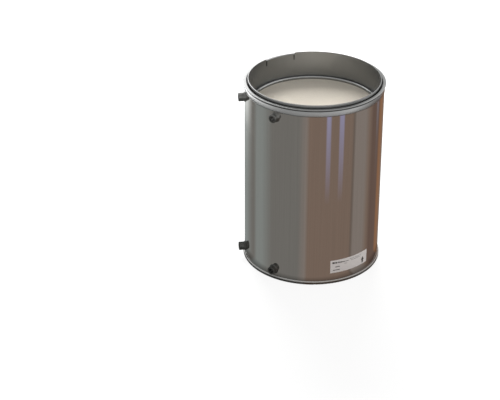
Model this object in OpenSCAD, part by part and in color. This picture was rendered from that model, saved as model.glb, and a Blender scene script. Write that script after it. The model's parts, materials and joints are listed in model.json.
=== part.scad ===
// Diesel particulate filter canister, standing on its outlet end.
// The axis is +Z, the outlet face lies on Z = 0 and the notched inlet end is at the top.

/* [Filter brick] */
// Diameter of the ceramic brick
monolith_d = 304.8; // [266:0.1:330]
// Length of the ceramic brick
monolith_l = 365; // [250:1:450]
// Depth of the inlet face below the rim of the inlet sleeve
inlet_recess = 70; // [62:0.5:90]
// Depth of the outlet face below the outlet flange
outlet_recess = 42; // [38:0.5:70]
// Spacing of the cells shown in the faces of the brick, where the real ones are finer
cell_pitch = 15; // [12:0.5:24]
// Wall left between two neighbouring cells
cell_wall = 4; // [2:0.5:8]
// Depth of the cells, down to their plugs
cell_depth = 6; // [3:0.5:20]
// Least width of the solid skin round the cells
cell_skin = 6; // [5:0.5:15]

/* [Inner can] */
// Thickness of the mat packed round the brick
mat_t = 4.6; // [3.5:0.1:8]
// How far the mat stops short of each face of the brick
mat_setback = 6; // [3:0.5:20]
// Wall of the inner can
can_wall = 1.5; // [1:0.1:3]
// How far the can runs past each face of the brick
can_reach = 3.5; // [1:0.5:6]

/* [End sleeves] */
// Wall of the rolled end sleeves
sleeve_wall = 2; // [1:0.1:4]
// Length of sleeve lapped over the inner can
sleeve_lap = 18; // [8:1:40]
// How far the inlet sleeve stands above the ridge of its flange
sleeve_proud = 6.5; // [3:0.5:15]
// Angle of the wide slot in the inlet sleeve
wide_slot_angle = 135.6; // [125:0.1:165]
// Width of the wide slot
wide_slot_w = 4; // [3:0.5:12]
// Angle of the narrow slot in the inlet sleeve
narrow_slot_angle = 106.5; // [85:0.1:118]
// Width of the narrow slot
narrow_slot_w = 2.5; // [2:0.5:8]
// Depth of both slots below the rim
slot_depth = 19; // [8:0.5:24]
// How far the tab between the slots lies below the rim
tab_drop = 3.5; // [0.5:0.5:6]

/* [Bead rings] */
// Height of a bead ring above the face of the brick
bead_h = 7; // [5:0.5:10]
// How far a bead ring reaches in over the edge of the brick
bead_cover = 2.5; // [1.5:0.1:6]
// Sheet thickness of a bead ring
bead_wall = 1.2; // [0.8:0.1:1.6]

/* [Flanges] */
// How far the clamp lips stand out from the shell
lip_proud = 3.5; // [2.5:0.1:8]
// Height of the inlet flange from its underside to the ridge
inlet_flange_h = 19.5; // [16:0.5:30]
// Height of the sloped underside of the inlet collar
collar_slope_h = 4; // [2:0.5:5]
// Thickness of the rolled lip on top of the inlet collar
inlet_lip_t = 2; // [1.5:0.5:4]
// Height of the crease between the inlet lip and its collar
crease_h = 4; // [2:0.5:5]
// Depth of the crease in from the lip
crease_depth = 3; // [2.5:0.5:4]
// Rounding of the ridge beside the gasket groove
ridge_round = 2; // [1:0.5:3]
// Width of the gasket groove between sleeve and ridge
groove_w = 2.2; // [1.2:0.1:3]
// Depth of the gasket groove below the ridge
groove_depth = 8; // [4:0.5:10]
// Height of the outlet flange
outlet_flange_h = 9.5; // [9:0.5:20]
// Rounding of the outlet lip
outlet_lip_round = 1.5; // [1:0.5:3]
// Height of the cylindrical land on the outlet lip
outlet_lip_land = 5; // [2:0.5:5.5]
// Depth of the socket in the outlet flange
socket_depth = 8; // [5:0.5:8.5]
// Radial room in the socket round a sleeve
socket_room = 1; // [0.5:0.1:2]
// Length of the spigot that centres the shell on each flange
spigot_h = 1.5; // [1:0.5:2]

/* [Shell] */
// Thickness of the insulation between sleeves and shell
jacket_gap = 6.2; // [5:0.1:20]
// Sheet thickness of the outer shell
shell_wall = 1; // [0.6:0.1:2]

/* [Sensor bungs] */
// Outer diameter of a bung
bung_d = 21; // [18:0.5:28]
// Diameter of the tapped hole
bung_hole_d = 12.5; // [8:0.1:14]
// Diameter of the spigot that enters the sleeve
bung_spigot_d = 18; // [16:0.5:18]
// How far a temperature bung stands out from the shell
temperature_bung_proud = 12.5; // [8:0.5:30]
// How far a pressure bung stands out from the shell
pressure_bung_proud = 16.5; // [8:0.5:30]
// Room between the weld foot of an inlet bung and the inlet flange
inlet_bung_edge = 0.5; // [0.5:0.5:20]
// Room between the weld foot of an outlet bung and the outlet flange
outlet_bung_edge = 3; // [0.5:0.5:20]
// Angle of the temperature bungs
temperature_bung_angle = 235; // [220:1:260]
// Angle of the pressure bungs
pressure_bung_angle = 188; // [170:1:205]
// Width of the weld foot round a bung
foot_w = 2.5; // [1:0.5:5]
// Height of the weld foot
foot_h = 4; // [2:0.5:6]
// Chamfer on the tip of a bung
bung_chamfer = 0.8; // [0.4:0.1:1.5]

/* [Label] */
// Length of the label round the shell
label_l = 111; // [60:1:160]
// Height of the label
label_h = 35; // [20:1:60]
// Thickness of the label
label_t = 0.3; // [0.2:0.05:0.6]
// Angle of the middle of the label
label_angle = -57; // [-80:1:-20]
// Height of the label's lower edge above the outlet flange
label_up = 18.5; // [5:0.5:120]

/* [Hidden] */
$fn = 128;
// Room between nested rings, and round what passes through a wall
fit = 0.3;
// Glue line under the label and under the weld feet
film = 0.05;
// Overshoot of cutting shapes
over = 1;

// Radii, from the brick outwards
monolith_r = monolith_d / 2;
can_in = monolith_r + mat_t;
can_out = can_in + can_wall;
sleeve_in = can_out + fit;
sleeve_out = sleeve_in + sleeve_wall;
shell_in = sleeve_out + jacket_gap;
shell_out = shell_in + shell_wall;
lip_r = shell_out + lip_proud;
flange_in = sleeve_out + fit;
ridge_in = sleeve_out + groove_w;
socket_r = sleeve_out + socket_room;
bung_r = bung_d / 2;
temperature_tip_r = shell_out + temperature_bung_proud;
pressure_tip_r = shell_out + pressure_bung_proud;

// Heights, from the outlet face upwards
outlet_face = outlet_recess;
inlet_face = outlet_face + monolith_l;
rim_top = inlet_face + inlet_recess;
ridge_top = rim_top - sleeve_proud;
inlet_flange_z = ridge_top - inlet_flange_h;
crease_z = ridge_top - inlet_lip_t - crease_h / 2;
can_bottom = outlet_face - can_reach;
can_top = inlet_face + can_reach;
outlet_sleeve_top = can_bottom + sleeve_lap;
inlet_sleeve_bottom = can_top - sleeve_lap;
outlet_bung_z = outlet_flange_h + outlet_bung_edge + foot_w + bung_r;
inlet_bung_z = inlet_flange_z - inlet_bung_edge - foot_w - bung_r;
label_z = outlet_flange_h + label_up;
label_span = label_l / shell_out * 180 / PI;

STEEL = [0.62, 0.61, 0.58];
POLISHED = [0.72, 0.70, 0.67];
DARK_STEEL = [0.36, 0.36, 0.35];
CERAMIC = [0.86, 0.82, 0.74];
FIBRE = [0.90, 0.88, 0.82];
WIRE = [0.50, 0.50, 0.48];
WHITE = [0.96, 0.96, 0.95];

// A rectangle of the section, from radius r0 to r1 and from height z0 to z1
module band(r0, r1, z0, z1) {
    translate([r0, z0]) square([r1 - r0, z1 - z0]);
}

module ring(r0, r1, z0, z1) {
    rotate_extrude() band(r0, r1, z0, z1);
}

// A radial cylinder, from the axis out to radius reach
module radial_rod(angle, z, d, reach) {
    translate([0, 0, z]) rotate([0, 0, angle]) rotate([0, 90, 0]) cylinder(d = d, h = reach);
}

module bung_passages(d) {
    for (angle = [temperature_bung_angle, pressure_bung_angle], z = [inlet_bung_z, outlet_bung_z])
        radial_rod(angle, z, d, lip_r);
}

// A slot cut down from the rim of the inlet sleeve
module rim_slot(angle, w) {
    rotate([0, 0, angle])
        translate([sleeve_in - over, -w / 2, rim_top - slot_depth])
            cube([sleeve_wall + 2 * over, w, slot_depth + over]);
}

module outer_shell() {
    color(POLISHED) difference() {
        ring(shell_in, shell_out, outlet_flange_h, inlet_flange_z);
        bung_passages(bung_d + 2 * fit);
    }
}

// Section of the inlet flange: spigot, collar with a sloped underside, crease, rolled lip and gasket groove
module inlet_flange_section() {
    edge_r = inlet_lip_t / 2;
    crease_r = lip_r - crease_depth + crease_h / 2;
    floor_z = ridge_top - groove_depth;
    band(flange_in, shell_in - fit, inlet_flange_z - spigot_h, inlet_flange_z + over);
    difference() {
        union() {
            polygon([
                [flange_in, inlet_flange_z], [shell_out, inlet_flange_z],
                [lip_r, inlet_flange_z + collar_slope_h], [lip_r, crease_z], [flange_in, crease_z]
            ]);
            band(flange_in, lip_r - edge_r, crease_z - over, ridge_top - ridge_round);
            band(ridge_in + ridge_round, lip_r - edge_r, crease_z - over, ridge_top);
            translate([ridge_in + ridge_round, ridge_top - ridge_round]) circle(r = ridge_round);
            translate([lip_r - edge_r, ridge_top - edge_r]) circle(r = edge_r);
        }
        translate([crease_r, crease_z]) circle(d = crease_h);
        band(crease_r, lip_r + over, crease_z - crease_h / 2, crease_z + crease_h / 2);
        band(flange_in - over, ridge_in, floor_z, ridge_top);
    }
}

module inlet_flange() {
    color(STEEL) rotate_extrude() inlet_flange_section();
}

// Section of the outlet flange: rounded lip, land, flared back, socket and spigot
module outlet_flange_section() {
    land_top = outlet_lip_round + outlet_lip_land;
    difference() {
        union() {
            band(flange_in, lip_r - outlet_lip_round, 0, land_top);
            band(flange_in, lip_r, outlet_lip_round, land_top);
            translate([lip_r - outlet_lip_round, outlet_lip_round]) circle(r = outlet_lip_round);
            polygon([
                [flange_in, land_top], [lip_r, land_top],
                [shell_out, outlet_flange_h], [flange_in, outlet_flange_h]
            ]);
            band(flange_in, shell_in - fit, outlet_flange_h - over, outlet_flange_h + spigot_h);
        }
        band(flange_in - over, socket_r, -over, socket_depth);
    }
}

module outlet_flange() {
    color(STEEL) rotate_extrude() outlet_flange_section();
}

module inlet_sleeve() {
    color(STEEL) difference() {
        ring(sleeve_in, sleeve_out, inlet_sleeve_bottom, rim_top);
        rim_slot(wide_slot_angle, wide_slot_w);
        rim_slot(narrow_slot_angle, narrow_slot_w);
        rotate([0, 0, narrow_slot_angle])
            rotate_extrude(angle = wide_slot_angle - narrow_slot_angle)
                band(sleeve_in - over, sleeve_out + over, rim_top - tab_drop, rim_top + over);
        bung_passages(bung_spigot_d + 2 * fit);
    }
}

module outlet_sleeve() {
    color(STEEL) difference() {
        ring(sleeve_in, sleeve_out, socket_depth, outlet_sleeve_top);
        bung_passages(bung_spigot_d + 2 * fit);
    }
}

// Section of a bead ring: a channel with a round crest, its outer leg longer than its inner leg.
// Heights are measured outwards from the face of the brick.
module bead_section() {
    outer = can_in - fit;
    inner = monolith_r - bead_cover;
    crest_r = (outer - inner) / 2;
    middle = (outer + inner) / 2;
    spring_z = bead_h - crest_r;
    difference() {
        union() {
            translate([middle, spring_z]) circle(r = crest_r);
            band(inner, outer, 0, spring_z);
            band(outer - bead_wall, outer, -mat_setback, spring_z);
        }
        translate([middle, spring_z]) circle(r = crest_r - bead_wall);
        band(inner + bead_wall, outer - bead_wall, -mat_setback - over, spring_z);
        band(inner - over, inner + bead_wall, -crest_r - over, 0);
    }
}

// Section of an end seal: a rope that hooks over the edge of the brick inside the bead
module seal_section() {
    outer = can_in - fit - bead_wall - fit;
    inner = monolith_r - bead_cover + bead_wall + fit;
    top = bead_h - (can_in - fit - monolith_r + bead_cover) / 2;
    band(monolith_r + fit, outer, -mat_setback, top);
    band(inner, outer, fit, top);
}

module at_inlet_face() {
    translate([0, 0, inlet_face]) children();
}

module at_outlet_face() {
    translate([0, 0, outlet_face]) mirror([0, 0, 1]) children();
}

module inlet_retainer() {
    color(STEEL) at_inlet_face() rotate_extrude() bead_section();
}

module outlet_retainer() {
    color(STEEL) at_outlet_face() rotate_extrude() bead_section();
}

module inlet_seal() {
    color(WIRE) at_inlet_face() rotate_extrude() seal_section();
}

module outlet_seal() {
    color(WIRE) at_outlet_face() rotate_extrude() seal_section();
}

// Every second square of a grid, kept whole inside the skin: turn is 0 for one face and 1 for the other
module open_cells(turn) {
    cell_w = cell_pitch - cell_wall;
    reach = floor((monolith_r - cell_skin) / cell_pitch);
    for (i = [-reach:reach], j = [-reach:reach])
        if (abs(i + j) % 2 == turn
                && norm([abs(i), abs(j)] * cell_pitch + [cell_w, cell_w] / 2) < monolith_r - cell_skin)
            translate([i * cell_pitch - cell_w / 2, j * cell_pitch - cell_w / 2, -cell_depth])
                cube([cell_w, cell_w, cell_depth + over]);
}

// The brick, with cells open to the inlet in one face and to the outlet in the other
module filter_monolith() {
    color(CERAMIC) difference() {
        translate([0, 0, outlet_face]) cylinder(r = monolith_r, h = monolith_l);
        at_inlet_face() open_cells(0);
        at_outlet_face() open_cells(1);
    }
}

module support_mat() {
    color(FIBRE)
        ring(monolith_r + film, can_in - film, outlet_face + mat_setback, inlet_face - mat_setback);
}

module inner_can() {
    color(STEEL) ring(can_in, can_out, can_bottom, can_top);
}

// The blanket fills the jacket and steps out round the two sleeves
module insulation_blanket() {
    color(FIBRE) difference() {
        ring(can_out + fit, shell_in - fit, outlet_flange_h + spigot_h + fit,
            inlet_flange_z - spigot_h - fit);
        ring(0, sleeve_out + fit, 0, outlet_sleeve_top + fit);
        ring(0, sleeve_out + fit, inlet_sleeve_bottom - fit, rim_top);
        bung_passages(bung_d + 2 * fit);
    }
}

// A sensor bung: a spigot through the sleeve, a shoulder on it, a body through the shell and a weld foot
module bung(angle, z, tip_r) {
    color(DARK_STEEL) difference() {
        union() {
            difference() {
                radial_rod(angle, z, bung_d, tip_r - bung_chamfer);
                cylinder(r = sleeve_out + fit, h = rim_top);
            }
            difference() {
                radial_rod(angle, z, bung_spigot_d, shell_in);
                cylinder(r = sleeve_in + fit, h = rim_top);
            }
            difference() {
                translate([0, 0, z]) rotate([0, 0, angle]) rotate([0, 90, 0])
                    translate([0, 0, shell_in])
                        cylinder(r1 = bung_r + foot_w, r2 = bung_r, h = shell_wall + foot_h);
                cylinder(r = shell_out + film, h = rim_top);
            }
            translate([0, 0, z]) rotate([0, 0, angle]) rotate([0, 90, 0])
                translate([0, 0, tip_r - bung_chamfer])
                    cylinder(r1 = bung_r, r2 = bung_r - bung_chamfer, h = bung_chamfer);
        }
        radial_rod(angle, z, bung_hole_d, tip_r + over);
    }
}

module inlet_temperature_bung() {
    bung(temperature_bung_angle, inlet_bung_z, temperature_tip_r);
}

module inlet_pressure_bung() {
    bung(pressure_bung_angle, inlet_bung_z, pressure_tip_r);
}

module outlet_temperature_bung() {
    bung(temperature_bung_angle, outlet_bung_z, temperature_tip_r);
}

module outlet_pressure_bung() {
    bung(pressure_bung_angle, outlet_bung_z, pressure_tip_r);
}

module label() {
    color(WHITE) rotate([0, 0, label_angle - label_span / 2])
        rotate_extrude(angle = label_span)
            band(shell_out + film, shell_out + film + label_t, label_z, label_z + label_h);
}

outer_shell();
inlet_flange();
outlet_flange();
inlet_sleeve();
outlet_sleeve();
inlet_retainer();
outlet_retainer();
inlet_seal();
outlet_seal();
filter_monolith();
support_mat();
inner_can();
insulation_blanket();
inlet_temperature_bung();
inlet_pressure_bung();
outlet_temperature_bung();
outlet_pressure_bung();
label();
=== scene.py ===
import json
import math

import bpy
import numpy as np
from bpy.props import FloatProperty, FloatVectorProperty, IntProperty, PointerProperty
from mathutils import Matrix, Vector


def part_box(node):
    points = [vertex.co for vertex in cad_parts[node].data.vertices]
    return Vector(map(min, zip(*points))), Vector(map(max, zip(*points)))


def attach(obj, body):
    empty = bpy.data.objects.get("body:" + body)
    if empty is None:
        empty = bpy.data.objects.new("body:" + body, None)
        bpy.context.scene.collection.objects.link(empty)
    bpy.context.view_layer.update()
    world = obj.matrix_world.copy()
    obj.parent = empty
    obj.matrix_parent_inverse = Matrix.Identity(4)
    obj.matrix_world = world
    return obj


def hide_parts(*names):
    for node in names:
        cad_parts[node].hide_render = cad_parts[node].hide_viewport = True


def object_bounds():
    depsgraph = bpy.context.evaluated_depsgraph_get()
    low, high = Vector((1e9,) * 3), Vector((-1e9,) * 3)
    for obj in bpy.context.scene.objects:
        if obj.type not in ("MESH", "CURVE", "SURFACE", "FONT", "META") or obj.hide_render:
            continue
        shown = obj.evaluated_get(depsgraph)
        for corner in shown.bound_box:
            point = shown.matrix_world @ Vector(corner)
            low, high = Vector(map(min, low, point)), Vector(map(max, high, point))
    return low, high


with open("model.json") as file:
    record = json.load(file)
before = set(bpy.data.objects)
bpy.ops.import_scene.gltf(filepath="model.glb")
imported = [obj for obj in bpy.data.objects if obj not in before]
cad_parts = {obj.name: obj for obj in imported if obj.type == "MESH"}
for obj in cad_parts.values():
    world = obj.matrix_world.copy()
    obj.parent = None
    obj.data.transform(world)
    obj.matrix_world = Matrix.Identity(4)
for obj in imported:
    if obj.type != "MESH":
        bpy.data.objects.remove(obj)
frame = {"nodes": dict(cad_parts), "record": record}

bl_info = {
    "name": "Particulate Filter Canister",
    "version": (1, 0, 0),
    "blender": (4, 5, 0),
    "location": "View3D > Sidebar > Filter",
    "description": "Finishes, fine detail and studio stage for a diesel particulate filter",
    "category": "Object",
}

CAD_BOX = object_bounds()
MM = 0.001


def radii(node):
    """Smallest and largest distance of a CAD node's points from the canister's axis."""
    points = np.array([v.co[:] for v in frame["nodes"][node].data.vertices])
    reach = np.hypot(points[:, 0], points[:, 1])
    return float(reach.min()), float(reach.max())


# Clearance of the inlet ring's spigot in the shell
SPIGOT_FIT = 0.3 * MM
BRICK_LOW, BRICK_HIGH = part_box("filter_monolith")
BRICK_RADIUS = BRICK_HIGH.x
LABEL_LOW, LABEL_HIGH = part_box("label")
SHELL_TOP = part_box("outer_shell")[1].z
SHELL_INNER, SHELL_RADIUS = radii("outer_shell")
WALL_RADIUS, SLEEVE_RADIUS = radii("inlet_sleeve")
LIP_RADIUS = radii("outlet_flange")[1]
RING_INNER, RING_OUTER = radii("inlet_flange")
RING_LOW, RING_TOP = (corner.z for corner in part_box("inlet_flange"))
SPIGOT_RADIUS = SHELL_INNER - SPIGOT_FIT
BUNGS = [
    "inlet_temperature_bung", "inlet_pressure_bung",
    "outlet_temperature_bung", "outlet_pressure_bung",
]
FORMED = [
    "outlet_flange", "inlet_sleeve", "outlet_sleeve",
    "inlet_retainer", "outlet_retainer", "inner_can",
]


# Settings

class BrickSettings(bpy.types.PropertyGroup):
    cell_pitch: FloatProperty(
        name="Cell Pitch", description="Distance between neighbouring cells of the brick",
        default=1.9 * MM, min=1.2 * MM, unit="LENGTH", precision=5)
    cell_wall: FloatProperty(
        name="Cell Wall", description="Thickness of the wall between two cells",
        default=0.42 * MM, min=0.1 * MM, unit="LENGTH", precision=5)
    cell_depth: FloatProperty(
        name="Cell Depth", description="Depth to which open cells are modelled",
        default=6 * MM, min=1 * MM, unit="LENGTH", precision=5)
    skin_width: FloatProperty(
        name="Skin Width", description="Width of the closed skin at the edge of each face",
        default=4.4 * MM, min=1 * MM, unit="LENGTH", precision=5)
    seed: IntProperty(
        name="Tone Seed", description="Seed for the tone of each plug", default=11, min=0)
    colour: FloatVectorProperty(
        name="Ceramic", description="Colour of the ceramic", subtype="COLOR",
        size=3, min=0, max=1, default=(0.88, 0.825, 0.715))
    shade: FloatVectorProperty(
        name="Ceramic Shade", description="Darker tone that drifts over the ceramic",
        subtype="COLOR", size=3, min=0, max=1, default=(0.80, 0.74, 0.65))


class SteelSettings(bpy.types.PropertyGroup):
    shell_colour: FloatVectorProperty(
        name="Shell", description="Colour of the polished shell", subtype="COLOR",
        size=3, min=0, max=1, default=(0.72, 0.70, 0.67))
    shell_roughness: FloatProperty(
        name="Shell Roughness", description="Roughness of the polished shell",
        subtype="FACTOR", default=0.06, min=0, max=1)
    formed_colour: FloatVectorProperty(
        name="Formed Steel", description="Colour of the flanges, sleeves and rings",
        subtype="COLOR", size=3, min=0, max=1, default=(0.325, 0.328, 0.325))
    formed_roughness: FloatProperty(
        name="Formed Roughness", description="Roughness of the flanges, sleeves and rings",
        subtype="FACTOR", default=0.27, min=0, max=1)
    # Painted shade: how bright the steel's colour stays in the crease and the gasket groove
    painted_shade_tone: FloatProperty(
        name="Painted Shade Tone", description="How bright the steel stays in grooves and creases",
        subtype="FACTOR", default=0.6, min=0, max=1)
    # Painted highlight: pale colour of the matt band on the flare above the outlet lip, which
    # stands in for a light line
    flare_highlight_colour: FloatVectorProperty(
        name="Flare", description="Colour of the matt flare above the outlet lip",
        subtype="COLOR", size=3, min=0, max=1, default=(0.70, 0.69, 0.67))
    wall_roughness: FloatProperty(
        name="Wall Roughness", description="Roughness that the inner walls of the sleeves add",
        subtype="FACTOR", default=0.1, min=0, max=1)
    edge_round: FloatProperty(
        name="Edge Round", description="Radius to which sharp edges of the steel are broken",
        default=0.4 * MM, min=0, unit="LENGTH", precision=5)


class RingSettings(bpy.types.PropertyGroup):
    collar_proud: FloatProperty(
        name="Collar Proud", description="How far the collar stands out from the shell",
        default=1 * MM, min=0.2 * MM, unit="LENGTH", precision=5)
    collar_slope: FloatProperty(
        name="Collar Slope", description="Height of the slope from the shell up to the collar",
        default=2 * MM, min=0.5 * MM, unit="LENGTH", precision=5)
    lip_thickness: FloatProperty(
        name="Lip Thickness", description="Thickness of the rolled lip",
        default=2 * MM, min=1 * MM, unit="LENGTH", precision=5)
    crease_height: FloatProperty(
        name="Crease Height", description="Height of the crease below the lip",
        default=4 * MM, min=1 * MM, unit="LENGTH", precision=5)
    crease_depth: FloatProperty(
        name="Crease Depth", description="Depth of the crease in from the collar",
        default=3 * MM, min=2.5 * MM, unit="LENGTH", precision=5)
    ridge_round: FloatProperty(
        name="Ridge Round", description="Radius of the ridge's inner edge",
        default=2 * MM, min=0.5 * MM, unit="LENGTH", precision=5)
    groove_width: FloatProperty(
        name="Groove Width", description="Width of the gasket groove round the sleeve",
        default=2.2 * MM, min=1 * MM, unit="LENGTH", precision=5)
    groove_depth: FloatProperty(
        name="Groove Depth", description="Depth of the gasket groove",
        default=8 * MM, min=1 * MM, unit="LENGTH", precision=5)


class BungSettings(bpy.types.PropertyGroup):
    colour: FloatVectorProperty(
        name="Bung Steel", description="Colour of the turned bungs", subtype="COLOR",
        size=3, min=0, max=1, default=(0.205, 0.205, 0.197))
    thread_pitch: FloatProperty(
        name="Thread Pitch", description="Pitch of the thread in the bungs",
        default=1.5 * MM, min=0.5 * MM, unit="LENGTH", precision=5)
    thread_radius: FloatProperty(
        name="Thread Radius", description="Radius of the tapped hole",
        default=6.25 * MM, min=2 * MM, unit="LENGTH", precision=5)
    thread_ridge: FloatProperty(
        name="Thread Ridge", description="How far a thread ridge stands in from the hole",
        default=0.42 * MM, min=0.1 * MM, unit="LENGTH", precision=5)
    turns: IntProperty(
        name="Turns", description="Number of turns of the thread", default=13, min=1)


class FibreSettings(bpy.types.PropertyGroup):
    mat_colour: FloatVectorProperty(
        name="Support Mat", description="Colour of the mat round the brick", subtype="COLOR",
        size=3, min=0, max=1, default=(0.80, 0.76, 0.66))
    blanket_colour: FloatVectorProperty(
        name="Blanket", description="Colour of the insulation blanket", subtype="COLOR",
        size=3, min=0, max=1, default=(0.90, 0.88, 0.82))
    wire_colour: FloatVectorProperty(
        name="Knitted Wire", description="Colour of the end seals", subtype="COLOR",
        size=3, min=0, max=1, default=(0.50, 0.50, 0.48))


class LabelSettings(bpy.types.PropertyGroup):
    paper: FloatVectorProperty(
        name="Paper", description="Colour of the label's paper", subtype="COLOR",
        size=3, min=0, max=1, default=(0.90, 0.84, 0.81))
    ink: FloatVectorProperty(
        name="Ink", description="Colour of the arrow and rules", subtype="COLOR",
        size=3, min=0, max=1, default=(0.06, 0.055, 0.05))


class StageSettings(bpy.types.PropertyGroup):
    floor_size: FloatProperty(
        name="Floor Size", description="Side of the square floor", default=8.0, min=1,
        unit="LENGTH")
    ambient: FloatProperty(
        name="Ambient", description="Level of the light from all round", default=0.42, min=0)
    key_power: FloatProperty(
        name="Key Power", description="Power of the soft lamp above and behind",
        default=97.0, min=0, unit="POWER")
    fill_power: FloatProperty(
        name="Fill Power", description="Power of the soft lamp in front", default=7.0, min=0,
        unit="POWER")
    screen_radius: FloatProperty(
        name="Screen Radius", description="Radius of the round screen that the shell mirrors",
        default=0.2, min=0.19, unit="LENGTH")
    surround_radius: FloatProperty(
        name="Surround Radius", description="Radius of the round wall that the rims mirror",
        default=0.5, min=0.3, unit="LENGTH")
    surround_height: FloatProperty(
        name="Surround Height", description="Height of the round wall that the rims mirror",
        default=0.8, min=0.1, unit="LENGTH")


# Node helpers

class Graph:
    """Short calls for adding nodes to a shader or geometry tree."""

    def __init__(self, tree):
        self.tree = tree

    def add(self, kind, inputs=None, **settings):
        node = self.tree.nodes.new(kind)
        for name, value in settings.items():
            setattr(node, name, value)
        for name, value in (inputs or {}).items():
            if isinstance(value, bpy.types.NodeSocket):
                self.tree.links.new(value, node.inputs[name])
            else:
                node.inputs[name].default_value = value
        return node

    def math(self, operation, *values):
        node = self.add("ShaderNodeMath", dict(enumerate(values)), operation=operation)
        return node.outputs[0]

    def xyz(self, x, y, z):
        return self.add("ShaderNodeCombineXYZ", {"X": x, "Y": y, "Z": z}).outputs[0]

    def noise(self, vector, scale, detail=3.0, roughness=0.5):
        node = self.add("ShaderNodeTexNoise", {
            "Vector": vector, "Scale": scale, "Detail": detail, "Roughness": roughness})
        return node.outputs["Fac"]

    def spread(self, value, low, high, bottom=0.3, top=0.7):
        """Map the middle of a texture's range onto low to high."""
        node = self.add("ShaderNodeMapRange", {
            "Value": value, "From Min": bottom, "From Max": top, "To Min": low, "To Max": high})
        return node.outputs["Result"]

    def blend(self, factor, first, second):
        node = self.add("ShaderNodeMix", data_type="RGBA")
        for index, value in ((0, factor), (6, first), (7, second)):
            if isinstance(value, bpy.types.NodeSocket):
                self.tree.links.new(value, node.inputs[index])
            else:
                node.inputs[index].default_value = value
        return node.outputs[2]

    def bump(self, height, strength, distance, normal=None):
        inputs = {"Height": height, "Strength": strength, "Distance": distance}
        if normal is not None:
            inputs["Normal"] = normal
        return self.add("ShaderNodeBump", inputs).outputs["Normal"]


def rgba(colour, factor=1.0):
    """A colour times a factor, with its alpha."""
    return (colour[0] * factor, colour[1] * factor, colour[2] * factor, 1.0)


def new_finish(name, colour, metallic, roughness):
    """A node material, its graph and its shader, with the plain values on the shader."""
    material = bpy.data.materials.new(name)
    material.use_nodes = True
    material.diffuse_color = rgba(colour)
    tree = material.node_tree
    tree.nodes.clear()
    graph = Graph(tree)
    shader = graph.add("ShaderNodeBsdfPrincipled", {
        "Base Color": rgba(colour), "Metallic": metallic, "Roughness": roughness})
    output = graph.add("ShaderNodeOutputMaterial")
    tree.links.new(shader.outputs["BSDF"], output.inputs["Surface"])
    return material, graph, shader


def drive(graph, shader, **sockets):
    """Link values to the shader's sockets by name, with underscores for spaces."""
    for name, value in sockets.items():
        graph.tree.links.new(value, shader.inputs[name.replace("_", " ")])


def place(graph):
    """Object coordinates of a finish."""
    return graph.add("ShaderNodeTexCoord").outputs["Object"]


def round_place(graph):
    """Angle, distance from the axis and height of a point, in radians and metres."""
    parts = graph.add("ShaderNodeSeparateXYZ", {"Vector": place(graph)})
    x, y, z = parts.outputs
    angle = graph.math("ARCTAN2", y, x)
    reach = graph.math("SQRT", graph.math("ADD", graph.math("MULTIPLY", x, x),
                                          graph.math("MULTIPLY", y, y)))
    return angle, reach, z


def stretched(graph, scale):
    """Object coordinates stretched along each axis."""
    return graph.add("ShaderNodeMapping", {"Vector": place(graph), "Scale": scale}).outputs[0]


def broken_edge(graph, radius):
    """A normal that rounds off sharp edges."""
    return graph.add("ShaderNodeBevel", {"Radius": radius}, samples=BEVEL_SAMPLES).outputs[0]


def wear(nodes, material):
    """Give CAD nodes a finish."""
    for name in nodes:
        mesh = frame["nodes"][name].data
        mesh.materials.clear()
        mesh.materials.append(material)


# Mesh helpers

# Steps of an arc in a section, of the inlet ring and of the brick's body
ARC_STEPS = 12
RING_STEPS = 360
BRICK_STEPS = 192
# Angle between two faces of a ring from which their edge is sharp
SHARP_ANGLE = math.radians(20)


def link_piece(name, mesh):
    """A new object in the scene."""
    piece = bpy.data.objects.new(name, mesh)
    bpy.context.scene.collection.objects.link(piece)
    return piece


def mesh_from(name, points, faces):
    """A mesh from points and the faces between them."""
    mesh = bpy.data.meshes.new(name)
    mesh.from_pydata(points, [], faces)
    mesh.validate()
    mesh.update()
    return mesh


def turned_mesh(name, profile, steps):
    """A closed surface turned round the axis from (radius, height) points.

    The first and the last point lie on the axis.
    """
    points = [(0.0, 0.0, profile[0][1])]
    inner = profile[1:-1]
    for radius, height in inner:
        for step in range(steps):
            angle = 2 * math.pi * step / steps
            points.append((radius * math.cos(angle), radius * math.sin(angle), height))
    points.append((0.0, 0.0, profile[-1][1]))
    last = len(points) - 1
    faces = []
    for step in range(steps):
        after = (step + 1) % steps
        faces.append((0, 1 + step, 1 + after))
        for row in range(len(inner) - 1):
            base, above = 1 + row * steps, 1 + (row + 1) * steps
            faces.append((base + step, above + step, above + after, base + after))
        top = 1 + (len(inner) - 1) * steps
        faces.append((top + step, last, top + after))
    return mesh_from(name, points, faces)


def arc(centre, radius, start, end):
    """Points (radius, height) of an arc from one angle to another, in degrees."""
    angles = np.radians(np.linspace(start, end, ARC_STEPS + 1))
    return [(centre[0] + radius * math.cos(a), centre[1] + radius * math.sin(a)) for a in angles]


def ring_mesh(name, section, steps):
    """A ring turned round the axis from a closed (radius, height) section, counterclockwise."""
    count = len(section)
    points, faces = [], []
    for step in range(steps):
        angle = 2 * math.pi * step / steps
        points += [(r * math.cos(angle), r * math.sin(angle), z) for r, z in section]
        here, after = step * count, (step + 1) % steps * count
        faces += [(here + k, after + k, after + (k + 1) % count, here + (k + 1) % count)
                  for k in range(count)]
    mesh = mesh_from(name, points, faces)
    mesh.shade_smooth()
    mesh.set_sharp_from_angle(angle=SHARP_ANGLE)
    return mesh


def new_tree(name, inputs):
    """An empty geometry tree with named inputs, its graph, and its input and output nodes."""
    tree = bpy.data.node_groups.new(name, "GeometryNodeTree")
    tree.is_modifier = True
    tree.interface.new_socket("Geometry", in_out="INPUT", socket_type="NodeSocketGeometry")
    for label, kind in inputs:
        tree.interface.new_socket(label, in_out="INPUT", socket_type="NodeSocket" + kind)
    tree.interface.new_socket("Geometry", in_out="OUTPUT", socket_type="NodeSocketGeometry")
    graph = Graph(tree)
    return graph, graph.add("NodeGroupInput").outputs, graph.add("NodeGroupOutput").inputs


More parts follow.
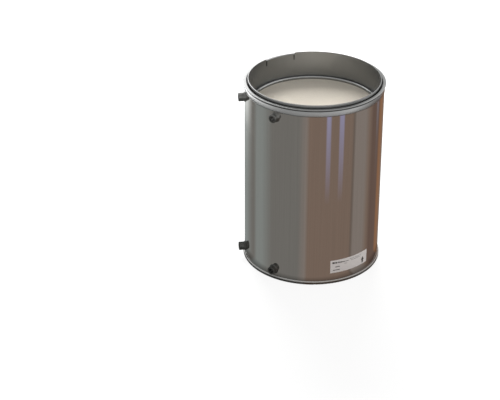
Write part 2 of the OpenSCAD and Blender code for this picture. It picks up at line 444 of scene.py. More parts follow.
def finish_tree(graph, geometry, material, output):
    """End a tree in Realize Instances and Set Material."""
    real = graph.add("GeometryNodeRealizeInstances", {"Geometry": geometry})
    dressed = graph.add("GeometryNodeSetMaterial", {
        "Geometry": real.outputs[0], "Material": material})
    graph.tree.links.new(dressed.outputs[0], output["Geometry"])
    return graph.tree


def grow(name, seed_mesh, tree, values):
    """Run a geometry tree on a mesh and return the result as a plain mesh piece."""
    piece = link_piece(name, seed_mesh)
    modifier = piece.modifiers.new("Grow", "NODES")
    modifier.node_group = tree
    for item in tree.interface.items_tree:
        if item.in_out == "INPUT" and item.name in values:
            modifier[item.identifier] = values[item.name]
    bpy.context.view_layer.update()
    graph = bpy.context.evaluated_depsgraph_get()
    grown = bpy.data.meshes.new_from_object(
        piece.evaluated_get(graph), preserve_all_data_layers=True, depsgraph=graph)
    piece.modifiers.clear()
    piece.data = grown
    grown.name = name
    if not grown.polygons:
        raise RuntimeError(f"{name} came out empty")
    return piece


# Finishes

# Stretch of the shell's grain and waves along x, y and z
SHELL_GRAIN = (90, 90, 1.2)
SHELL_WAVES = (7, 7, 1.5)
# How fast tool marks change round the axis, in each radian, and away from it, in each metre
MARKS_ROUND = 2.0
FORMED_MARKS = 2200.0
BUNG_MARKS = 1800.0
# Strands of the mat and the blanket, and their stretch upwards
MAT_STRANDS = 420
BLANKET_STRANDS = 260
STRAND_STRETCH = 0.35
# Loops of the knitted wire round the axis, its rows upwards, and how far a row sways
WIRE_LOOPS = 900.0
WIRE_ROWS = 6000.0
WIRE_SWAY = 1.3
# Slack of the masks that pick out a surface by its distance from the axis
EDGE_SLACK = 0.1 * MM
WALL_SLACK = 0.3 * MM
# Middle height and half width of the flare above the outlet lip, and how matt it is; the pale matt
# band there is a painted highlight
FLARE_Z = 7.6 * MM
FLARE_HALF = 1 * MM
FLARE_MATT = 0.8
# Samples that round off a sharp edge
BEVEL_SAMPLES = 4

# Marks on the label, in millimetres from its lower left corner: first the lower edge of the bold
# blocks, and the left end, right end and height of each
BOLD_LOW = 25.6
BOLD_BLOCKS = [(5, 11, 4.6), (12.5, 18, 4), (20, 24, 4), (25, 32, 3), (33, 40, 2), (41, 49, 1.6)]
# Thickness of the fine rules, and the left end, right end and lower edge of each
RULE_THICKNESS = 0.9
FINE_RULES = [(52, 66, 28.6), (68, 90, 28.6), (56, 88, 24.8), (37, 45, 20.4)]
# Left end, right end, lower and upper edge of the short bars and the arrow's stem
SHORT_BARS = [(13, 25, 14.8, 17.0), (7, 25, 6.2, 8.2)]
ARROW_STEM = (92.6, 97.8, 4, 13)
# Middle, lower edge, tip and half width of the arrow's head
ARROW_HEAD = (95.2, 11.5, 21, 5.4)


def polished_finish(settings):
    """Mirror-polished sheet with a faint lengthwise grain and soft waves."""
    base, rough = settings.shell_colour, settings.shell_roughness
    material, graph, shader = new_finish("polished_shell", base, metallic=1.0, roughness=rough)
    grain = graph.noise(stretched(graph, SHELL_GRAIN), scale=3.0, detail=4.0)
    drift = graph.noise(place(graph), scale=5.0, detail=2.0)
    swell = graph.noise(stretched(graph, SHELL_WAVES), scale=1.0, detail=1.0)
    colour = graph.blend(graph.spread(grain, 0, 1), rgba(base), rgba(base, factor=0.95))
    roughness = graph.math("ADD", graph.spread(drift, low=-0.015, high=0.02),
                           graph.spread(grain, low=rough - 0.01, high=rough + 0.01))
    waves = graph.bump(swell, strength=0.06, distance=0.004)
    drive(graph, shader, Base_Color=colour, Roughness=roughness, Normal=waves)
    return material


def formed_finish(settings, ring):
    """Satin steel with marks round the canister, painted shade in its crease and groove, and a
    painted highlight on the flare.
    """
    base, rough = settings.formed_colour, settings.formed_roughness
    material, graph, shader = new_finish("formed_steel", base, metallic=1.0, roughness=rough)
    angle, reach, height = round_place(graph)
    marks = graph.noise(graph.xyz(
        graph.math("MULTIPLY", angle, MARKS_ROUND), graph.math("MULTIPLY", reach, FORMED_MARKS),
        graph.math("MULTIPLY", height, FORMED_MARKS)), scale=1.0, detail=3.0)
    drift = graph.noise(place(graph), scale=9.0, detail=3.0)
    unshaded_steel = graph.blend(graph.spread(drift, 0, 1), rgba(base), rgba(base, factor=0.9))

    # Painted shade: the steel's colour is darkened in the crease below the lip, and darker still in
    # the gasket groove round the sleeve
    crease_half = ring.crease_height / 2
    crease = graph.math("COMPARE", height, RING_TOP - ring.lip_thickness - crease_half, crease_half)
    outside = graph.math("GREATER_THAN", reach, SLEEVE_RADIUS + EDGE_SLACK)
    below_lip = graph.math("LESS_THAN", reach, SHELL_RADIUS + ring.collar_proud)
    in_crease = graph.math("MULTIPLY", outside, graph.math("MULTIPLY", crease, below_lip))
    creased = graph.blend(in_crease, unshaded_steel, rgba(base, settings.painted_shade_tone))
    groove = graph.math("LESS_THAN", reach, SLEEVE_RADIUS + ring.groove_width + EDGE_SLACK)
    steel = graph.blend(graph.math("MULTIPLY", outside, groove), creased,
                        rgba(base, settings.painted_shade_tone ** 2))

    # Painted highlight: a pale, mostly matt band on the flare above the outlet lip stands in for a
    # light line
    flare = graph.math("MULTIPLY", graph.math("COMPARE", height, FLARE_Z, FLARE_HALF),
                       graph.math("GREATER_THAN", reach, SHELL_RADIUS))
    colour = graph.blend(flare, steel, rgba(settings.flare_highlight_colour))
    metal = graph.math("SUBTRACT", 1.0, graph.math("MULTIPLY", flare, FLARE_MATT))

    satin = graph.math("ADD", graph.spread(drift, low=-0.02, high=0.02),
                       graph.spread(marks, low=rough - 0.03, high=rough + 0.03))
    wall = graph.math("COMPARE", reach, WALL_RADIUS, WALL_SLACK)
    roughness = graph.math("ADD", satin, graph.math("MULTIPLY", wall, settings.wall_roughness))
    normal = graph.bump(marks, strength=0.04, distance=0.00005,
                        normal=broken_edge(graph, settings.edge_round))
    drive(graph, shader, Base_Color=colour, Metallic=metal, Roughness=roughness, Normal=normal)
    return material


def bung_finish(settings, edge_round):
    """Dark turned steel with tool marks round each bung."""
    base = settings.colour
    material, graph, shader = new_finish("bung_steel", base, metallic=1.0, roughness=0.42)
    _, reach, _ = round_place(graph)
    marks = graph.noise(graph.xyz(graph.math("MULTIPLY", reach, BUNG_MARKS), 0.0, 0.0),
                        scale=1.0, detail=2.0)
    drift = graph.noise(place(graph), scale=60.0, detail=4.0)
    colour = graph.blend(graph.spread(drift, 0, 1), rgba(base), rgba(base, factor=0.7))
    normal = graph.bump(marks, strength=0.2, distance=0.0001,
                        normal=broken_edge(graph, edge_round))
    drive(graph, shader, Base_Color=colour, Roughness=graph.spread(marks, low=0.34, high=0.5),
          Normal=normal)
    return material


def ceramic_finish(settings):
    """Cream ceramic, with a tone of its own for each plug and a fine grain."""
    material, graph, shader = new_finish(
        "filter_ceramic", settings.colour, metallic=0.0, roughness=0.42)
    drift = graph.noise(place(graph), scale=14.0, detail=3.0)
    grain = graph.noise(place(graph), scale=2600.0, detail=2.0)
    tone = graph.add("ShaderNodeAttribute", attribute_name="cell_tone").outputs["Fac"]
    mix = graph.math("ADD", graph.spread(drift, low=0, high=0.6),
                     graph.math("MULTIPLY", tone, 0.4))
    colour = graph.blend(mix, rgba(settings.colour), rgba(settings.shade))
    drive(graph, shader, Base_Color=colour, Roughness=graph.spread(grain, low=0.36, high=0.5),
          Normal=graph.bump(grain, strength=0.15, distance=0.0001))
    return material


def fibre_finish(name, colour, scale):
    """Felted fibre: tangled strands of lighter and darker tone."""
    material, graph, shader = new_finish(name, colour, metallic=0.0, roughness=0.95)
    strands = graph.noise(stretched(graph, (scale, scale, scale * STRAND_STRETCH)),
                          scale=1.0, detail=6.0, roughness=0.7)
    colours = graph.blend(graph.spread(strands, 0, 1), rgba(colour, factor=0.72), rgba(colour))
    drive(graph, shader, Base_Color=colours, Roughness=graph.spread(strands, low=0.98, high=0.9),
          Normal=graph.bump(strands, strength=0.8, distance=0.0008))
    return material


def wire_finish(colour):
    """Knitted wire: rows of loops that run round the ring."""
    material, graph, shader = new_finish("knitted_wire", colour, metallic=1.0, roughness=0.35)
    angle, _, height = round_place(graph)
    along = graph.math("SINE", graph.math("MULTIPLY", angle, WIRE_LOOPS))
    across = graph.math("SINE", graph.math("ADD", graph.math("MULTIPLY", height, WIRE_ROWS),
                                           graph.math("MULTIPLY", along, WIRE_SWAY)))
    loops = graph.math("MULTIPLY", graph.math("ADD", across, 1.0), 0.5)
    colours = graph.blend(loops, rgba(colour, factor=0.25), rgba(colour))
    roughness = graph.spread(loops, low=0.5, high=0.3, bottom=0, top=1)
    drive(graph, shader, Base_Color=colours, Roughness=roughness,
          Normal=graph.bump(loops, strength=0.7, distance=0.0003))
    return material


def label_finish(settings):
    """White paper with an arrow, bold blocks and fine rules, all plain shapes."""
    material, graph, shader = new_finish(
        "label_paper", settings.paper, metallic=0.0, roughness=0.5)
    angle, _, height = round_place(graph)
    start = min(math.atan2(corner.y, corner.x) for corner in (LABEL_LOW, LABEL_HIGH))
    across = graph.math("MULTIPLY", graph.math("SUBTRACT", angle, start), SHELL_RADIUS / MM)
    up = graph.math("MULTIPLY", graph.math("SUBTRACT", height, LABEL_LOW.z), 1 / MM)

    def bar(left, right, low, high):
        """A mask for a printed bar."""
        inside = graph.math("COMPARE", across, (left + right) / 2, (right - left) / 2)
        level = graph.math("COMPARE", up, (low + high) / 2, (high - low) / 2)
        return graph.math("MULTIPLY", inside, level)

    def head(centre, low, high, half):
        """A mask for an arrow head that points up."""
        lean = graph.math("MULTIPLY", graph.math("SUBTRACT", high, up), half / (high - low))
        side = graph.math("ABSOLUTE", graph.math("SUBTRACT", across, centre))
        narrow = graph.math("LESS_THAN", side, lean)
        return graph.math("MULTIPLY", narrow, graph.math("GREATER_THAN", up, low))

    marks = [bar(left, right, BOLD_LOW, BOLD_LOW + tall) for left, right, tall in BOLD_BLOCKS]
    marks += [bar(left, right, low, low + RULE_THICKNESS) for left, right, low in FINE_RULES]
    marks += [bar(*edges) for edges in SHORT_BARS]
    marks += [bar(*ARROW_STEM), head(*ARROW_HEAD)]
    ink = marks[0]
    for mark in marks[1:]:
        ink = graph.math("MAXIMUM", ink, mark)
    grain = graph.noise(place(graph), scale=900.0, detail=3.0)
    paper = graph.blend(graph.spread(grain, 0, 1), rgba(settings.paper),
                        rgba(settings.paper, factor=0.95))
    colour = graph.blend(ink, paper, rgba(settings.ink))
    drive(graph, shader, Base_Color=colour, Roughness=graph.spread(grain, low=0.45, high=0.6))
    return material


# Pieces

# Gap between the brick's body and the sheet of cells on each face
SHEET_GAP = 0.04 * MM
# Steps of a thread in each turn, and sides of its ridge
THREAD_STEPS = 24
RIDGE_SIDES = 6


def cell_tile(pitch, wall, depth, up):
    """One diamond of the face: an open square cell and the walls and half plugs round it."""
    half = (pitch - wall) / 2
    sink = -depth if up else depth
    points = [(pitch, 0, 0), (0, pitch, 0), (-pitch, 0, 0), (0, -pitch, 0),
              (half, half, 0), (-half, half, 0), (-half, -half, 0), (half, -half, 0)]
    points += [(x, y, sink) for x, y, _ in points[4:8]]
    faces = [(0, 4, 7), (1, 5, 4), (2, 6, 5), (3, 7, 6),
             (0, 1, 4), (1, 2, 5), (2, 3, 6), (3, 0, 7),
             (8, 9, 10, 11)]
    faces += [(4 + k, 4 + (k + 1) % 4, 8 + (k + 1) % 4, 8 + k) for k in range(4)]
    if not up:
        faces = [tuple(reversed(face)) for face in faces]
    return mesh_from("cell_tile", points, faces)


def cell_tree():
    """Tiles on a diagonal grid, kept inside a round field."""
    graph, given, output = new_tree("Brick Cells", [
        ("Cell Pitch", "Float"), ("Field Radius", "Float"), ("Field Place", "Vector"),
        ("Tone Seed", "Int"), ("Ceramic", "Material")])
    step = graph.math("MULTIPLY", given["Cell Pitch"], math.sqrt(2))
    reach = graph.math("CEIL", graph.math("DIVIDE", given["Field Radius"], step))
    count = graph.math("ADD", graph.math("MULTIPLY", reach, 2.0), 3.0)
    side = graph.math("MULTIPLY", graph.math("SUBTRACT", count, 1.0), step)
    grid = graph.add("GeometryNodeMeshGrid", {
        "Size X": side, "Size Y": side, "Vertices X": count, "Vertices Y": count})
    turned = graph.add("GeometryNodeTransform", {
        "Geometry": grid.outputs["Mesh"], "Translation": given["Field Place"],
        "Rotation": (0, 0, math.pi / 4)})
    spot = graph.add("ShaderNodeSeparateXYZ", {
        "Vector": graph.add("GeometryNodeInputPosition").outputs[0]})
    away = graph.add("ShaderNodeVectorMath", {
        0: graph.xyz(spot.outputs["X"], spot.outputs["Y"], 0.0)}, operation="LENGTH")
    outside = graph.math("GREATER_THAN", away.outputs["Value"], given["Field Radius"])
    field = graph.add("GeometryNodeDeleteGeometry", {
        "Geometry": turned.outputs[0], "Selection": outside}, domain="POINT", mode="ALL")
    tiles = graph.add("GeometryNodeInstanceOnPoints", {
        "Points": field.outputs[0], "Instance": given["Geometry"]})
    tone = graph.add("FunctionNodeRandomValue", {"Seed": given["Tone Seed"]}, data_type="FLOAT")
    toned = graph.add("GeometryNodeStoreNamedAttribute", {
        "Geometry": tiles.outputs[0], "Name": "cell_tone", "Value": tone.outputs[1]},
        data_type="FLOAT", domain="INSTANCE")
    return finish_tree(graph, toned.outputs[0], given["Ceramic"], output)


def thread_tree():
    """A helical ridge at each point, with its axis square to the canister's."""
    graph, given, output = new_tree("Bung Threads", [
        ("Pitch", "Float"), ("Radius", "Float"), ("Ridge", "Float"), ("Turns", "Int"),
        ("Steel", "Material")])
    length = graph.math("MULTIPLY", given["Pitch"], given["Turns"])
    helix = graph.add("GeometryNodeCurveSpiral", {
        "Resolution": THREAD_STEPS, "Rotations": given["Turns"], "Start Radius": given["Radius"],
        "End Radius": given["Radius"], "Height": length})
    ridge = graph.add("GeometryNodeCurvePrimitiveCircle", {
        "Resolution": RIDGE_SIDES, "Radius": given["Ridge"]}, mode="RADIUS")
    thread = graph.add("GeometryNodeCurveToMesh", {
        "Curve": helix.outputs[0], "Profile Curve": ridge.outputs[0], "Fill Caps": True})
    spot = graph.add("ShaderNodeSeparateXYZ", {
        "Vector": graph.add("GeometryNodeInputPosition").outputs[0]})
    turn = graph.add("FunctionNodeAlignRotationToVector", {
        "Vector": graph.xyz(spot.outputs["X"], spot.outputs["Y"], 0.0)}, axis="Z")
    ports = graph.add("GeometryNodeMeshToPoints", {"Mesh": given["Geometry"]})
    threads = graph.add("GeometryNodeInstanceOnPoints", {
        "Points": ports.outputs[0], "Instance": thread.outputs[0], "Rotation": turn.outputs[0]})
    return finish_tree(graph, threads.outputs[0], given["Steel"], output)


def inlet_section(settings):
    """Section of the inlet ring: spigot, collar, crease, rolled lip, ridge and gasket groove."""
    collar = SHELL_RADIUS + settings.collar_proud
    lip_half, crease_half = settings.lip_thickness / 2, settings.crease_height / 2
    crease = (collar - settings.crease_depth + crease_half,
              RING_TOP - settings.lip_thickness - crease_half)
    ridge = (SLEEVE_RADIUS + settings.groove_width + settings.ridge_round,
             RING_TOP - settings.ridge_round)
    groove_floor = RING_TOP - settings.groove_depth
    return [
        (RING_INNER, RING_LOW), (SPIGOT_RADIUS, RING_LOW), (SPIGOT_RADIUS, SHELL_TOP),
        (SHELL_RADIUS, SHELL_TOP), (collar, SHELL_TOP + settings.collar_slope),
        (collar, crease[1] - crease_half), *arc(crease, crease_half, 270, 90),
        *arc((RING_OUTER - lip_half, RING_TOP - lip_half), lip_half, -90, 90),
        *arc(ridge, settings.ridge_round, 90, 180),
        (ridge[0] - settings.ridge_round, groove_floor), (RING_INNER, groove_floor)]


class DPF_OT_steel(bpy.types.Operator):
    """Finish the shell, the sleeves, the bead rings and the outlet flange"""
    bl_idname = "dpf.steel"
    bl_label = "Finish Steel"

    def execute(self, context):
        settings = context.scene.dpf_steel
        wear(["outer_shell"], polished_finish(settings))
        wear(FORMED, formed_finish(settings, context.scene.dpf_ring))
        return {"FINISHED"}


class DPF_OT_ring(bpy.types.Operator):
    """Turn the inlet ring from its section, in the finish that the outlet flange wears"""
    bl_idname = "dpf.ring"
    bl_label = "Turn Inlet Ring"

    def execute(self, context):
        section = inlet_section(context.scene.dpf_ring)
        piece = link_piece("inlet_ring", ring_mesh("inlet_ring", section, RING_STEPS))
        piece.data.materials.append(frame["nodes"]["outlet_flange"].data.materials[0])
        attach(piece, "root")
        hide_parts("inlet_flange")
        return {"FINISHED"}


class DPF_OT_brick(bpy.types.Operator):
    """Build the ceramic brick with its open and plugged cells"""
    bl_idname = "dpf.brick"
    bl_label = "Build Brick"

    def execute(self, context):
        settings = context.scene.dpf_brick
        ceramic = ceramic_finish(settings)
        low, high = BRICK_LOW.z, BRICK_HIGH.z
        depth = settings.cell_depth
        field = BRICK_RADIUS - settings.skin_width
        body = link_piece("brick_body", turned_mesh("brick_body", [
            (0, low + depth), (field, low + depth), (field, low + SHEET_GAP),
            (BRICK_RADIUS, low + SHEET_GAP), (BRICK_RADIUS, high - SHEET_GAP),
            (field, high - SHEET_GAP), (field, high - depth), (0, high - depth)], BRICK_STEPS))
        body.data.materials.append(ceramic)
        pieces = [body]
        tree = cell_tree()
        for name, height, up, shift in (
                ("brick_inlet_cells", high, True, 0.0),
                ("brick_outlet_cells", low, False, settings.cell_pitch)):
            tile = cell_tile(settings.cell_pitch, settings.cell_wall, depth - SHEET_GAP, up)
            pieces.append(grow(name, tile, tree, {
                "Cell Pitch": settings.cell_pitch,
                "Field Radius": BRICK_RADIUS - settings.cell_pitch - SHEET_GAP,
                "Field Place": (shift, 0.0, height), "Tone Seed": settings.seed,
                "Ceramic": ceramic}))
        for piece in pieces:
            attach(piece, "root")
            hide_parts("filter_monolith")
        return {"FINISHED"}


class DPF_OT_bungs(bpy.types.Operator):
    """Finish the bungs and cut their threads"""
    bl_idname = "dpf.bungs"
    bl_label = "Finish Bungs"

    def execute(self, context):
        settings = context.scene.dpf_bungs
        steel = bung_finish(settings, context.scene.dpf_steel.edge_round)
        wear(BUNGS, steel)
        half = settings.thread_pitch * settings.turns / 2
        ports = [Vector(mount["pos_m"]) - Vector(mount["axis"]) * half
                 for mount in frame["record"]["mounts"] if mount["kind"] == "threaded_hole"]
        if len(ports) != len(BUNGS):
            raise RuntimeError("the record doesn't state one tapped hole for each bung")
        threads = grow("bung_threads", mesh_from("bung_ports", ports, []), thread_tree(), {
            "Pitch": settings.thread_pitch, "Radius": settings.thread_radius,
            "Ridge": settings.thread_ridge, "Turns": settings.turns, "Steel": steel})
        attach(threads, "root")
        return {"FINISHED"}


class DPF_OT_fibres(bpy.types.Operator):
    """Finish the support mat, the blanket and the knitted seals"""
    bl_idname = "dpf.fibres"
    bl_label = "Finish Fibres"

    def execute(self, context):
        settings = context.scene.dpf_fibres
        mat = fibre_finish("mat_fibre", settings.mat_colour, MAT_STRANDS)
        blanket = fibre_finish("blanket_fibre", settings.blanket_colour, BLANKET_STRANDS)
        wear(["support_mat"], mat)
        wear(["insulation_blanket"], blanket)
        wear(["inlet_seal", "outlet_seal"], wire_finish(settings.wire_colour))
        return {"FINISHED"}


class DPF_OT_label(bpy.types.Operator):
    """Finish the label with plain generic marks"""
    bl_idname = "dpf.label"
    bl_label = "Finish Label"

    def execute(self, context):
        wear(["label"], label_finish(context.scene.dpf_label))
        return {"FINISHED"}


# Stage

# Colours of the screen that the shell mirrors
SCREEN = {
    "pale": (0.95, 0.985, 0.98),
    "grey green": (0.28, 0.305, 0.30),
    "slate": (0.205, 0.20, 0.19),
    "shade": (0.175, 0.14, 0.12),
    "brown": (0.238, 0.175, 0.142),
    "warm grey": (0.272, 0.235, 0.215),
    "lilac": (0.345, 0.33, 0.485),
    "dusk": (0.24, 0.21, 0.23),
    "deep brown": (0.165, 0.112, 0.092),
    "orange brown": (0.30, 0.158, 0.088),
}
# Strips that fade out downwards: what they fade to, and how far at the screen's top, waist and foot
FADED = {
    "lilac": ("brown", (0, 0.45, 1)),
    "dusk": ("deep brown", (0, 0.8, 1)),
    "pale": ("grey green", (0, 0.86, 1)),
}
# Angles round the canister, in degrees, and the colour there
SCREEN_STOPS = [
    (0, "orange brown"), (16, "brown"), (40, "warm grey"), (62, "slate"), (80, "brown"),
    (94, "warm grey"), (110, "lilac"), (118, "warm grey"), (140, "slate"), (155, "pale"),
    (176, "pale"), (193, "slate"), (197, "slate"), (203, "grey green"), (212, "grey green"),
    (226, "slate"), (254, "slate"), (261, "warm grey"), (264, "brown"), (279.2, "brown"),
    (280.4, "lilac"), (283.4, "lilac"), (284.6, "brown"), (291.8, "brown"), (293, "lilac"),
    (296.6, "lilac"), (297.8, "brown"), (306, "brown"), (308.5, "shade"), (311, "warm grey"),
    (324, "warm grey"), (331, "brown"), (337, "deep brown"), (344, "deep brown"),
    (346, "dusk"), (349.5, "dusk"), (351.5, "deep brown"), (356, "orange brown"),
]
# Angles round the canister, in degrees, and how far below the shell's top the screen ends, in mm
SCREEN_DROPS = [(0, 15), (40, 11), (140, 11), (185, 16), (220, 13), (270, 12), (320, 13)]
# Heights of the screen's waist and foot, as shares of the shell's top
SCREEN_WAIST = 0.72
SCREEN_FOOT = 0.45
# How far the screen's dim skirt reaches out from the lip, as a share of the way, and its tone
SKIRT_REACH = 0.3
SKIRT_TONE = 0.5
# Angles round the canister, in degrees, and the level of what its rims and its collar mirror
SURROUND_LEVELS = [
    (0, 2.0), (12, 1.6), (50, 1.1), (64, 1.0), (71, 0.6), (85, 0.43), (96, 0.43), (102, 1.6),
    (107, 3.0), (125, 2.8), (150, 0.8), (270, 0.6), (335, 0.8), (346, 2.0),
]
APRON_LEVELS = [
    (4, 0.75), (38, 0.63), (90, 1.0), (104, 6.0), (126, 10.0), (140, 9.5), (157, 3.9), (173, 2.2),
    (191, 1.5), (211, 0.85), (228, 0.65), (244, 0.8), (270, 0.9), (300, 1.1), (330, 1.6),
]
# Height of the surround's foot above the part, and the radii of the apron
SURROUND_GAP = 0.05
APRON_INNER = 0.55
APRON_OUTER = 1.5
# Steps of a card round the axis, and how far a card lies above the part's lowest point
CARD_STEPS = 720
CARD_DEGREES = np.arange(CARD_STEPS) * 360 / CARD_STEPS
CARD_LIFT = 0.5 * MM
# Plain tone of a card's light, for which its tints stand in
CARD_TONE = (0.2, 0.18, 0.17)
# The floor: how far it lies below the part, its glow, and its greys when seen and when it lights
FLOOR_DROP = 0.2 * MM
FLOOR_GLOW = 0.86
FLOOR_SEEN = 0.22
FLOOR_PLAIN = 0.8
# Places of the lamps, and their sizes
KEY_PLACE = (-0.2, 1.85, 1.46)
KEY_SIZE = 1.7
FILL_PLACE = (0.5, -2.3, 1.6)
FILL_SIZE = 1.6
# The camera: its place, its tilt from straight down, and its lens and sensor in mm
CAMERA_PLACE = (-0.1548, -3.2948, 1.9333)
CAMERA_TILT = math.radians(61.486)
CAMERA_LENS = 107.94
CAMERA_SENSOR = 36.0
WHITE = (1.0, 1.0, 1.0)


def glow(name, colour, strength=1.0):
    """A glowing material, its graph, its light and its output."""
    material = bpy.data.materials.new(name)
    material.use_nodes = True
    material.node_tree.nodes.clear()
    graph = Graph(material.node_tree)
    light = graph.add("ShaderNodeEmission", {"Color": rgba(colour), "Strength": strength})
    output = graph.add("ShaderNodeOutputMaterial", {"Surface": light.outputs[0]})
    return material, graph, light, output


def seen_directly(graph):
    """One where a camera, glossy or transmitted ray looks, and nought elsewhere."""
    path = graph.add("ShaderNodeLightPath").outputs
    return graph.math("MAXIMUM", path["Is Camera Ray"],
                      graph.math("MAXIMUM", path["Is Glossy Ray"], path["Is Transmission Ray"]))


def add_floor(settings):
    """A floor that looks white and keeps a soft shadow."""
    half = settings.floor_size / 2
    low = CAD_BOX[0][2] - FLOOR_DROP
    floor = link_piece("floor", mesh_from("floor", [
        (-half, -half, low), (half, -half, low), (half, half, low), (-half, half, low)],
        [(0, 1, 2, 3)]))
    material, graph, light, output = glow("floor_white", WHITE, FLOOR_GLOW)
    thin = graph.add("ShaderNodeBsdfDiffuse", {"Color": rgba(WHITE, FLOOR_SEEN)})
    shown = graph.add("ShaderNodeAddShader", {0: light.outputs[0], 1: thin.outputs[0]})
    plain = graph.add("ShaderNodeBsdfDiffuse", {"Color": rgba(WHITE, FLOOR_PLAIN)})
    mix = graph.add("ShaderNodeMixShader", {
        0: seen_directly(graph), 1: plain.outputs[0], 2: shown.outputs[0]})
    graph.tree.links.new(mix.outputs[0], output.inputs["Surface"])
    floor.data.materials.append(material)


def all_round(stops):
    """Values at each step of a card from (degrees, value) stops."""
    return np.interp(CARD_DEGREES, *zip(*stops), period=360)


def screen_tint(name, row):
    """A colour of the screen at its top (0), waist (1) or foot (2)."""
    end, fades = FADED.get(name, (name, (0, 0, 0)))
    return [first + (last - first) * fades[row]
            for first, last in zip(SCREEN[name], SCREEN[end])]


def screen_tints(row):
    """Colours of the screen all round at its top (0), waist (1) or foot (2)."""
    stops = [(angle, screen_tint(name, row)) for angle, name in SCREEN_STOPS]
    tints = np.ones((CARD_STEPS, 4))
    for channel in range(3):
        tints[:, channel] = all_round([(angle, tint[channel]) for angle, tint in stops])
    return tints


def grey_tints(stops):
    """Greys at each step of a card from (degrees, level) stops."""
    levels = all_round(stops)
    return np.stack([levels, levels, levels, np.ones(CARD_STEPS)], axis=1)


def add_card(name, rows):
    """A glowing card turned round the axis from (radius, height, tints) rows.

    It is seen only where the part mirrors it.
    """
    angles = np.radians(CARD_DEGREES)
    points, faces = [], []
    for row, (reach, height, _) in enumerate(rows):
        heights = np.broadcast_to(height, CARD_STEPS)
        points += list(zip(reach * np.cos(angles), reach * np.sin(angles), heights))
        if row:
            low, high = (row - 1) * CARD_STEPS, row * CARD_STEPS
            faces += [(low + k, high + k, high + (k + 1) % CARD_STEPS, low + (k + 1) % CARD_STEPS)
                      for k in range(CARD_STEPS)]
    mesh = mesh_from(name, points, faces)
    tint = mesh.color_attributes.new("tint", "FLOAT_COLOR", "POINT")
    tint.data.foreach_set("color", np.concatenate([tints for _, _, tints in rows]).ravel())
    card = link_piece(name, mesh)
    material, graph, light, _ = glow(name + "_tint", CARD_TONE)
    band = graph.add("ShaderNodeAttribute", attribute_name="tint")
    graph.tree.links.new(band.outputs["Color"], light.inputs["Color"])
    mesh.materials.append(material)
    card.visible_camera = False
    card.visible_diffuse = False
    card.visible_transmission = False
    card.visible_shadow = False


def add_screen(settings):
    """A screen close to the shell, with a skirt on the floor."""
    radius, floor = settings.screen_radius, CAD_BOX[0][2] + CARD_LIFT
    skirt = LIP_RADIUS * (1 - SKIRT_REACH) + radius * SKIRT_REACH
    top, waist, foot = (screen_tints(row) for row in range(3))
    add_card("screen", [
        (LIP_RADIUS, floor, foot * SKIRT_TONE), (skirt, floor, foot * SKIRT_TONE),
        (radius, floor, foot), (radius, SHELL_TOP * SCREEN_FOOT, foot),
        (radius, SHELL_TOP * SCREEN_WAIST, waist),
        (radius, SHELL_TOP - all_round(SCREEN_DROPS) * MM, top)])


def add_surround(settings):
    """A wall all round above the rims, and an apron on the floor that the collar mirrors."""
    low = CAD_BOX[1][2] + SURROUND_GAP
    floor = CAD_BOX[0][2] + CARD_LIFT
    wall, apron = grey_tints(SURROUND_LEVELS), grey_tints(APRON_LEVELS)
    add_card("surround", [
        (settings.surround_radius, low, wall),
        (settings.surround_radius, low + settings.surround_height, wall)])
    add_card("apron", [(APRON_INNER, floor, apron), (APRON_OUTER, floor, apron)])


def add_lamp(name, place_at, aim, size, power, mirrored):
    """A round soft lamp that is aimed at a point."""
    lamp = bpy.data.lights.new(name, "AREA")
    lamp.shape = "DISK"
    lamp.size = size
    lamp.energy = power
    holder = bpy.data.objects.new(name, lamp)
    holder.location = place_at
    holder.rotation_euler = (Vector(aim) - Vector(place_at)).to_track_quat("-Z", "Y").to_euler()
    holder.visible_glossy = mirrored
    bpy.context.scene.collection.objects.link(holder)


def add_world(settings):
    """White where it is seen, and a plain level where it lights the part."""
    world = bpy.data.worlds.new("studio")
    world.use_nodes = True
    world.node_tree.nodes.clear()
    graph = Graph(world.node_tree)
    level = graph.math("MAXIMUM", seen_directly(graph), settings.ambient)
    sky = graph.add("ShaderNodeBackground", {"Color": rgba(WHITE), "Strength": level})
    graph.add("ShaderNodeOutputWorld", {"Surface": sky.outputs[0]})
    bpy.context.scene.world = world


def add_camera():
    """A camera that looks at the part from in front and above."""
    lens = bpy.data.cameras.new("camera")
    lens.lens = CAMERA_LENS
    lens.sensor_width = CAMERA_SENSOR
    holder = bpy.data.objects.new("camera", lens)
    holder.location = CAMERA_PLACE
    holder.rotation_euler = (CAMERA_TILT, 0.0, 0.0)
    bpy.context.scene.collection.objects.link(holder)
    bpy.context.scene.camera = holder


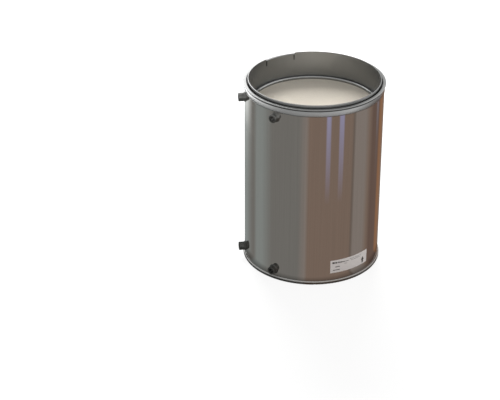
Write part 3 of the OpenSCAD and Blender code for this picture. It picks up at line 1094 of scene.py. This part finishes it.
class DPF_OT_stage(bpy.types.Operator):
    """Set the floor, the mirrored cards, the lamps, the surroundings and the camera"""
    bl_idname = "dpf.stage"
    bl_label = "Set Stage"

    def execute(self, context):
        settings = context.scene.dpf_stage
        add_floor(settings)
        add_screen(settings)
        add_surround(settings)
        middle = (0.0, 0.0, BRICK_HIGH.z)
        add_lamp("key", KEY_PLACE, middle, KEY_SIZE, settings.key_power, False)
        add_lamp("fill", FILL_PLACE, middle, FILL_SIZE, settings.fill_power, True)
        add_world(settings)
        add_camera()
        context.scene.view_settings.view_transform = "Standard"
        return {"FINISHED"}


# Registration

SETTINGS = {
    "dpf_steel": SteelSettings, "dpf_ring": RingSettings, "dpf_brick": BrickSettings,
    "dpf_bungs": BungSettings, "dpf_fibres": FibreSettings, "dpf_label": LabelSettings,
    "dpf_stage": StageSettings,
}
OPERATORS = {
    "dpf_steel": DPF_OT_steel, "dpf_ring": DPF_OT_ring, "dpf_brick": DPF_OT_brick,
    "dpf_bungs": DPF_OT_bungs, "dpf_fibres": DPF_OT_fibres, "dpf_label": DPF_OT_label,
    "dpf_stage": DPF_OT_stage,
}


class DPF_PT_panel(bpy.types.Panel):
    """Settings and steps of the filter's looks"""
    bl_idname = "DPF_PT_panel"
    bl_label = "Particulate Filter"
    bl_space_type = "VIEW_3D"
    bl_region_type = "UI"
    bl_category = "Filter"

    def draw(self, context):
        for name in SETTINGS:
            box = self.layout.box()
            settings = getattr(context.scene, name)
            for key in settings.bl_rna.properties.keys():
                if key not in ("rna_type", "name"):
                    box.prop(settings, key)
            box.operator(OPERATORS[name].bl_idname)


def register():
    for name, group in SETTINGS.items():
        bpy.utils.register_class(group)
        setattr(bpy.types.Scene, name, PointerProperty(type=group))
    for operator in OPERATORS.values():
        bpy.utils.register_class(operator)
    bpy.utils.register_class(DPF_PT_panel)


def unregister():
    bpy.utils.unregister_class(DPF_PT_panel)
    for operator in OPERATORS.values():
        bpy.utils.unregister_class(operator)
    for name, group in SETTINGS.items():
        delattr(bpy.types.Scene, name)
        bpy.utils.unregister_class(group)


def main():
    register()
    bpy.ops.dpf.steel()
    bpy.ops.dpf.ring()
    bpy.ops.dpf.brick()
    bpy.ops.dpf.bungs()
    bpy.ops.dpf.fibres()
    bpy.ops.dpf.label()
    bpy.ops.dpf.stage()


if __name__ == "__main__":
    main()
